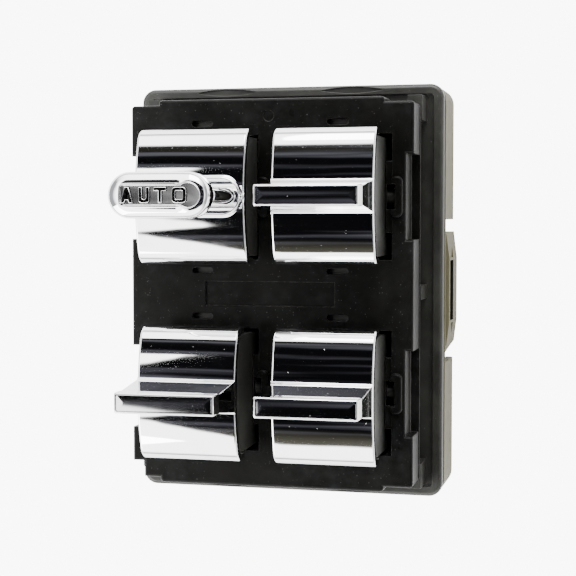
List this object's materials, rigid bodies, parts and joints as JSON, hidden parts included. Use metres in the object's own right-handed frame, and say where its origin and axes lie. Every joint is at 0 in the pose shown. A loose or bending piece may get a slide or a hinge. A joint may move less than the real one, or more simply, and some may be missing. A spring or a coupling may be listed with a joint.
{
  "type": "power window switch",
  "caption": "Door-mounted power window switch: sprung chrome rockers with finger paddles and one oval knob in a black deck, flanged, on a pale snap-in rear housing.",
  "frame": {"origin": "middle of the flat back, on the resting plane", "axes": "+Z out of the switch face, +Y towards the front pair of rockers (up in the picture), +X to the right of someone facing the switch"},
  "size_m": [0.0784, 0.1, 0.0753],
  "materials": {
    "chrome_trim": "mirror",
    "black_plastic": "satin",
    "pale_plastic": "satin",
    "white_plastic": "satin",
    "header_plastic": "satin",
    "board": "gloss",
    "contact_metal": "satin",
    "tinned_metal": "satin",
    "zinc_steel": "satin"
  },
  "bodies": {
    "housing": {"rear_housing": "pale_plastic", "flange_frame": "black_plastic", "faceplate": "black_plastic", "rear_cover": "pale_plastic", "circuit_board": "board", "connector_header": "header_plastic", "terminal_pins": "tinned_metal", "fixed_contacts": "contact_metal", "cover_screws": "zinc_steel"},
    "rocker_front_left": {"carrier_front_left": "black_plastic", "driver_cap": "chrome_trim", "driver_knob": "chrome_trim", "spring_front_left": "zinc_steel"},
    "detent_front_left": {"plunger_front_left": "white_plastic"},
    "slide_front_left": {"contact_slide_front_left": "white_plastic", "wiper_front_left": "contact_metal"},
    "rocker_front_right": {"carrier_front_right": "black_plastic", "paddle_cap_front_right": "chrome_trim", "spring_front_right": "zinc_steel"},
    "detent_front_right": {"plunger_front_right": "white_plastic"},
    "slide_front_right": {"contact_slide_front_right": "white_plastic", "wiper_front_right": "contact_metal"},
    "rocker_rear_left": {"carrier_rear_left": "black_plastic", "paddle_cap_rear_left": "chrome_trim", "spring_rear_left": "zinc_steel"},
    "detent_rear_left": {"plunger_rear_left": "white_plastic"},
    "slide_rear_left": {"contact_slide_rear_left": "white_plastic", "wiper_rear_left": "contact_metal"},
    "rocker_rear_right": {"carrier_rear_right": "black_plastic", "paddle_cap_rear_right": "chrome_trim", "spring_rear_right": "zinc_steel"},
    "detent_rear_right": {"plunger_rear_right": "white_plastic"},
    "slide_rear_right": {"contact_slide_rear_right": "white_plastic", "wiper_rear_right": "contact_metal"}
  },
  "joints": [
    {"name": "tilt_front_left", "type": "hinge", "parent": "housing", "child": "rocker_front_left", "pos_m": [-0.0158, 0.0226, 0.0338], "axis": [1, 0, 0], "range_deg": [-8, 8], "stiffness_Nm_per_rad": 0.5},
    {"name": "plunge_front_left", "type": "slide", "parent": "rocker_front_left", "child": "detent_front_left", "axis": [0, 0, 1], "range_m": [0, 0.0012], "stiffness_N_per_m": 500, "springref_m": -0.002, "deforming": ["spring_front_left"]},
    {"name": "shift_front_left", "type": "slide", "parent": "housing", "child": "slide_front_left", "axis": [0, 1, 0], "range_m": [-0.0027, 0.0027]},
    {"name": "tilt_front_right", "type": "hinge", "parent": "housing", "child": "rocker_front_right", "pos_m": [0.0158, 0.0226, 0.0338], "axis": [1, 0, 0], "range_deg": [-8, 8], "stiffness_Nm_per_rad": 0.5},
    {"name": "plunge_front_right", "type": "slide", "parent": "rocker_front_right", "child": "detent_front_right", "axis": [0, 0, 1], "range_m": [0, 0.0012], "stiffness_N_per_m": 500, "springref_m": -0.002, "deforming": ["spring_front_right"]},
    {"name": "shift_front_right", "type": "slide", "parent": "housing", "child": "slide_front_right", "axis": [0, 1, 0], "range_m": [-0.0027, 0.0027]},
    {"name": "tilt_rear_left", "type": "hinge", "parent": "housing", "child": "rocker_rear_left", "pos_m": [-0.0158, -0.0226, 0.0338], "axis": [1, 0, 0], "range_deg": [-8, 8], "stiffness_Nm_per_rad": 0.5},
    {"name": "plunge_rear_left", "type": "slide", "parent": "rocker_rear_left", "child": "detent_rear_left", "axis": [0, 0, 1], "range_m": [0, 0.0012], "stiffness_N_per_m": 500, "springref_m": -0.002, "deforming": ["spring_rear_left"]},
    {"name": "shift_rear_left", "type": "slide", "parent": "housing", "child": "slide_rear_left", "axis": [0, 1, 0], "range_m": [-0.0027, 0.0027]},
    {"name": "tilt_rear_right", "type": "hinge", "parent": "housing", "child": "rocker_rear_right", "pos_m": [0.0158, -0.0226, 0.0338], "axis": [1, 0, 0], "range_deg": [-8, 8], "stiffness_Nm_per_rad": 0.5},
    {"name": "plunge_rear_right", "type": "slide", "parent": "rocker_rear_right", "child": "detent_rear_right", "axis": [0, 0, 1], "range_m": [0, 0.0012], "stiffness_N_per_m": 500, "springref_m": -0.002, "deforming": ["spring_rear_right"]},
    {"name": "shift_rear_right", "type": "slide", "parent": "housing", "child": "slide_rear_right", "axis": [0, 1, 0], "range_m": [-0.0027, 0.0027]}
  ],
  "couplings": [
    {"joint": "shift_front_left", "follows": "tilt_front_left", "m_per_rad": 0.0186},
    {"joint": "shift_front_right", "follows": "tilt_front_right", "m_per_rad": 0.0186},
    {"joint": "shift_rear_left", "follows": "tilt_rear_left", "m_per_rad": 0.0186},
    {"joint": "shift_rear_right", "follows": "tilt_rear_right", "m_per_rad": 0.0186}
  ]
}
